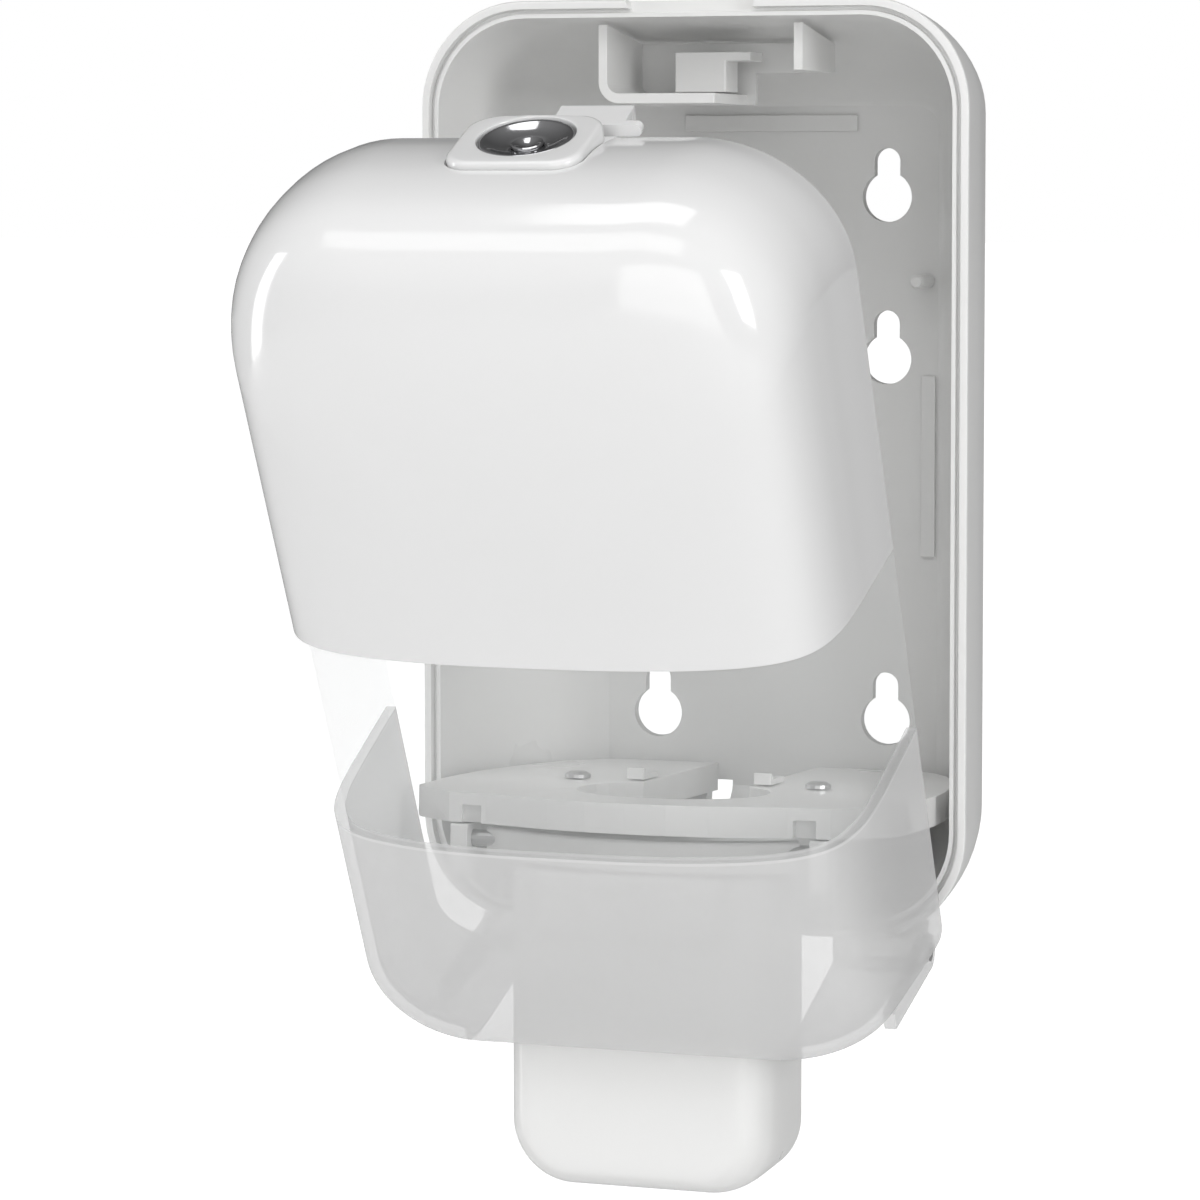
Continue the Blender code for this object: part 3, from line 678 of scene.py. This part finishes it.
@dataclass
class PressLock:
    """The press lock in the cover's top: a square bezel, a chrome disc and a key core."""

    disc_radius: float = 8.5
    bore_radius: float = 8.75
    socket_radius: float = 3.0
    disc_profile: list[tuple[float, float]] = field(default_factory=lambda: [
        (3.0, -3.0), (3.0, -1.9), (3.2, -1.72), (4.2, -1.6),
        (5.4, -1.3), (6.5, -0.9), (7.4, -0.45), (7.85, -0.3),
        (8.2, -0.36), (8.42, -0.6), (8.5, -0.95), (8.5, -3.0),
    ])

    def __post_init__(self) -> None:
        """Read the lock's centre and axis from the frame's record."""
        turn = joint_named("key_turn")
        self.centre = np.array(turn["pos_m"])
        self.out = -np.array(turn["axis"])
        self.out /= np.linalg.norm(self.out)
        self.across = np.array([1.0, 0.0, 0.0])
        self.back = np.cross(self.out, self.across)

    def placed(self, points: np.ndarray) -> np.ndarray:
        """Return points from the lock's own space, in millimetres, in the frame, in metres."""
        axes = np.stack([self.across, self.back, self.out])
        return (points * MM) @ axes + self.centre

    def lathe(self, profile: list[tuple[float, float]], count: int = 96) -> np.ndarray:
        """Turn a (radius, height) profile a full circle: x = r cos a, y = r sin a, z = height."""
        radius, height = np.asarray(profile).T
        angle = np.arange(count) * (2 * math.pi / count)
        x = radius[:, None] * np.cos(angle)
        y = radius[:, None] * np.sin(angle)
        return np.stack([x, y, np.broadcast_to(height[:, None], x.shape)], axis=-1)

    def bezel_rings(self) -> np.ndarray:
        """Return the bezel's rings, from its foot over its rounded edge and down the bore.

        Each ring lies part of the way between a rounded square and the circle at the same angles.
        """
        square = rounded_rings(np.array([(12.3, -11.9, 9.4, 5.0, 5.0)]))[0]
        direction = square / np.linalg.norm(square, axis=1, keepdims=True)
        circle = direction * self.bore_radius
        steps = [(0.0, -3.2), (0.0, -0.9), (0.03, -0.42), (0.1, -0.12), (0.22, 0.0)]
        steps += [(0.85, 0.0), (0.97, -0.1)]
        steps += [(1.0, -0.35), (1.0, -3.2)]
        rings = []
        for share, height in steps:
            flat = square + (circle - square) * share
            rings.append(np.column_stack([flat, np.full(len(flat), height)]))
        return np.stack(rings)

    def build(self, gloss: bpy.types.Material, chrome: bpy.types.Material) -> None:
        """Make the bezel, the disc and the key core."""
        bezel = ring_loft("lock_surround", self.placed(self.bezel_rings()))
        finish_piece(bezel, Body.COVER, Slot.GLOSS, gloss, "lock_bezel")
        disc = ring_loft("lock_press_disc", self.placed(self.lathe(self.disc_profile)))
        finish_piece(disc, Body.BUTTON, Slot.CHROME, chrome, "lock_disc")
        profile = [(0.3, -2.1), (1.4, -1.75), (2.2, -1.35), (2.6, -1.25), (2.85, -1.4)]
        profile += [(2.9, -2.9), (0.3, -2.9)]
        core = closed_loft("lock_core_face", self.placed(self.lathe(profile, 48)))
        finish_piece(core, Body.CORE, Slot.CHROME, chrome, "lock_key_core")


@dataclass
class Lever:
    """The push lever: an open-backed scoop under a bowed band."""

    span: float = 30.6
    bow: float = 7.6
    rows: list[tuple[float, float, float]] = field(default_factory=lambda: [
        (-101.5, 22.0, 2.0), (-101.5, 12.0, 6.0), (-101.5, 5.6, 9.0), (-100.3, 3.0, 11.0), (-97.5, 1.3, 12.0),
        (-92.0, 0.3, 12.0), (-76.0, 0.0, 12.0),
    ])
    inside: list[tuple[float, float, float]] = field(default_factory=lambda: [
        (-76.0, 2.0, 10.0), (-94.5, 2.8, 10.0), (-98.0, 4.2, 9.5), (-99.5, 6.5, 8.0), (-99.5, 22.0, 2.0),
    ])

    def __post_init__(self) -> None:
        """Read the scoop's and the band's extents from the frame."""
        low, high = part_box("push_lever")
        self.half_width = high[0] / MM
        self.bottom, self.top = low[2] / MM, high[2] / MM
        low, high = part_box("lever_yoke")
        self.band_low, self.band_top = low[2] / MM, high[2] / MM

    def scoop_rings(self) -> np.ndarray:
        """Return the scoop's rings, from its front round the open back and inside."""
        y, inset, corner = np.vstack([smooth_rows(self.rows, 5), smooth_rows(self.inside, 5)]).T
        low = self.bottom + inset
        high = self.top - 0.35 * inset
        top_radius = np.full(len(y), 2.5)
        corner = np.minimum(corner, self.half_width - inset - 0.3)
        sizes = np.stack([self.half_width - inset, low, high, corner, top_radius], axis=1)
        flat = rounded_rings(sizes, 18, 10)
        depth = np.broadcast_to(y[:, None], flat.shape[:2])
        return np.stack([flat[..., 0], depth, flat[..., 1]], axis=-1) * MM

    def band_rings(self) -> np.ndarray:
        """Return the band: a rounded strip along a parabola, y = -94.3 - bow (1 - (x / span)^2)."""
        x = np.linspace(-self.span, self.span, 61)
        y = -94.3 - self.bow * (1 - (x / self.span) ** 2)
        slope = 2 * self.bow * x / self.span**2
        normal = np.column_stack([-slope, np.ones_like(x)]) / np.hypot(1.0, slope)[:, None]
        section = rounded_rings(np.array([(1.45, self.band_low, self.band_top, 0.7, 0.7)]), 6, 2)[0]
        rings = np.zeros((len(x), len(section), 3))
        rings[..., 0] = x[:, None] + section[:, 0] * normal[:, :1]
        rings[..., 1] = y[:, None] + section[:, 0] * normal[:, 1:]
        rings[..., 2] = section[:, 1]
        return rings * MM

    def build(self, satin: bpy.types.Material, steel: bpy.types.Material) -> None:
        """Make the scoop and the band, and dress the plate and the pins."""
        scoop = closed_loft("lever_scoop", self.scoop_rings())
        finish_piece(scoop, Body.LEVER, Slot.SATIN, satin, "push_lever")
        band = closed_loft("lever_band", self.band_rings())
        finish_piece(band, Body.LEVER, Slot.SATIN, satin, "lever_yoke")
        dress_node("lever_insert", satin, 0.3)
        for side in ("left", "right"):
            dress_node(f"lever_pin_{side}", steel, 0.0)


def dress_node(name: str, material: bpy.types.Material, edge: float) -> None:
    """Give a frame node a material and, where an edge width is given, rounded edges.

    Args:
        name: The node.
        material: Its material.
        edge: Width of the rounding in millimetres, or 0 for none.
    """
    item = frame["nodes"][name]
    for place in item.material_slots:
        place.material = material
    if edge:
        weld = item.modifiers.new("join", "WELD")
        weld.merge_threshold = WELD_DISTANCE
        bevel = item.modifiers.new("edge_round", "BEVEL")
        bevel.width = edge * MM
        bevel.segments = BEVEL_SEGMENTS
        bevel.limit_method = "ANGLE"
        bevel.angle_limit = BEVEL_ANGLE
    LOG.info("%s dressed", name)


@dataclass(frozen=True)
class Softbox:
    """A rectangular soft light: where it hangs, its width and height, and its power in watts."""

    name: str
    place: tuple[float, float, float]
    size: tuple[float, float]
    power: float

    def hang(self, target: Vector) -> None:
        """Hang the light so that it faces a target."""
        lamp = bpy.data.lights.new(self.name, "AREA")
        lamp.shape = "RECTANGLE"
        lamp.size, lamp.size_y = self.size
        lamp.energy = self.power
        item = bpy.data.objects.new(self.name, lamp)
        item.location = self.place
        aim = target - Vector(self.place)
        item.rotation_euler = aim.to_track_quat("-Z", "Y").to_euler()
        bpy.context.scene.collection.objects.link(item)


SOFTBOXES = (
    Softbox("key", (-0.15, -0.95, 0.85), (1.3, 0.45), 2.9),
    Softbox("side", (1.1, -0.75, 0.25), (0.35, 0.7), 5.8),
    Softbox("left", (-1.2, -0.5, 0.05), (0.25, 1.0), 4.6),
    Softbox("top", (0.0, -0.3, 1.1), (0.7, 0.5), 2.8),
    Softbox("front", (0.3, -1.4, 0.0), (0.9, 0.9), 4.4),
)


@dataclass(frozen=True)
class Studio:
    """Floor, lights and camera."""

    camera_place: tuple[float, float, float] = (0.2277, -0.8296, 0.0568)
    camera_turn: float = 17.008
    camera_dip: float = 3.898
    lens: float = 121.9
    shift: tuple[float, float] = (-0.0477, -0.12)
    aim: tuple[float, float, float] = (0.0, -0.07, 0.0)
    floor_half: float = 30.0
    floor_drop: float = 0.3
    floor_glow: float = 0.85
    sky_span: tuple[float, float] = (-0.1, 0.7)
    sky_strength: tuple[float, float] = (0.4, 0.12)

    def build(self, shades: Shades) -> None:
        """Make the floor, the lights and the camera."""
        self._floor(shades)
        self._world()
        for softbox in SOFTBOXES:
            softbox.hang(Vector(self.aim))
        self._camera()

    def _floor(self, shades: Shades) -> None:
        """Make the pale floor a little below the object."""
        size = self.floor_half
        height = CAD_BOX[0][2] - self.floor_drop
        corners = np.array([(-size, -size), (size, -size), (size, size), (-size, size)])
        points = np.column_stack([corners, np.full(len(corners), height)])
        mesh = bpy.data.meshes.new("floor")
        mesh.from_pydata(points.tolist(), [], [[0, 1, 2, 3]])
        floor = bpy.data.objects.new("floor", mesh)
        bpy.context.scene.collection.objects.link(floor)
        material = FLOOR_PAINT.build(shades)
        shader = material.node_tree.nodes["Principled BSDF"]
        shader.inputs["Emission Color"].default_value = WHITE
        tree = material.node_tree
        seen = tree.nodes.new("ShaderNodeLightPath")
        glow = tree.nodes.new("ShaderNodeMath")
        glow.operation = "MULTIPLY"
        glow.inputs[1].default_value = self.floor_glow
        tree.links.new(seen.outputs["Is Camera Ray"], glow.inputs[0])
        tree.links.new(glow.outputs[0], shader.inputs["Emission Strength"])
        mesh.materials.append(material)

    def _world(self) -> None:
        """Light the scene from all round with a soft pale sky."""
        world = bpy.data.worlds.new("studio")
        world.use_nodes = True
        nodes, links = world.node_tree.nodes, world.node_tree.links
        sky = nodes["Background"]
        sky.inputs["Color"].default_value = WHITE
        place = nodes.new("ShaderNodeTexCoord")
        axes = nodes.new("ShaderNodeSeparateXYZ")
        fade = nodes.new("ShaderNodeMapRange")
        fade.inputs["From Min"].default_value, fade.inputs["From Max"].default_value = self.sky_span
        fade.inputs["To Min"].default_value, fade.inputs["To Max"].default_value = self.sky_strength
        links.new(place.outputs["Generated"], axes.inputs[0])
        links.new(axes.outputs["Y"], fade.inputs["Value"])
        links.new(fade.outputs["Result"], sky.inputs["Strength"])
        backdrop = nodes.new("ShaderNodeBackground")
        backdrop.inputs["Color"].default_value = WHITE
        path = nodes.new("ShaderNodeLightPath")
        mix = nodes.new("ShaderNodeMixShader")
        links.new(path.outputs["Is Camera Ray"], mix.inputs["Fac"])
        links.new(sky.outputs[0], mix.inputs[1])
        links.new(backdrop.outputs[0], mix.inputs[2])
        links.new(mix.outputs[0], nodes["World Output"].inputs["Surface"])
        bpy.context.scene.world = world
        bpy.context.scene.view_settings.view_transform = "Standard"

    def _camera(self) -> None:
        """Stand the camera to the object's right and a little above it."""
        upright = math.pi / 2 - math.radians(self.camera_dip)
        lens = bpy.data.cameras.new("camera")
        lens.shift_x, lens.shift_y = self.shift
        lens.lens = self.lens
        lens.sensor_width = 36.0
        lens.clip_start = 0.01
        camera = bpy.data.objects.new("camera", lens)
        camera.location = self.camera_place
        camera.rotation_euler = (upright, 0.0, math.radians(self.camera_turn))
        bpy.context.scene.collection.objects.link(camera)
        bpy.context.scene.camera = camera


def dress_small_nodes(
    satin: bpy.types.Material, gloss: bpy.types.Material, steel: bpy.types.Material
) -> None:
    """Dress the frame nodes whose shapes stay as they are."""
    dress_node("bottle_carrier", satin, 0.6)
    dress_node("latch_bracket", satin, 0.35)
    dress_node("latch_keeper", satin, 0.3)
    dress_node("label_plate", satin, 0.12)
    dress_node("lock_barrel", gloss, 0.3)
    dress_node("latch_hook", gloss, 0.2)
    dress_node("latch_tab", gloss, 0.4)
    for side in ("left", "right"):
        dress_node(f"side_strip_{side}", satin, 0.12)
        dress_node(f"wall_peg_{side}", satin, 0.0)
        dress_node(f"hinge_bracket_{side}", satin, 0.3)
        dress_node(f"pivot_lug_{side}", satin, 0.3)
        dress_node(f"neck_clip_{side}", satin, 0.2)
        dress_node(f"carrier_screw_{side}", steel, 0.0)
        dress_node(f"hinge_pin_{side}", steel, 0.0)


def main() -> None:
    """Build every sub-assembly, then the studio."""
    logging.basicConfig(level=logging.INFO)
    shades = Shades()
    satin = SATIN_WHITE.build(shades)
    gloss = GLOSS_WHITE.build(shades)
    chrome = POLISHED_CHROME.build(shades)
    steel = ZINC_STEEL.build(shades)
    Housing().build(satin)
    Cover().build(gloss, shades)
    PressLock().build(gloss, chrome)
    Lever().build(satin, steel)
    dress_small_nodes(satin, gloss, steel)
    Studio().build(shades)


if __name__ == "__main__":
    main()
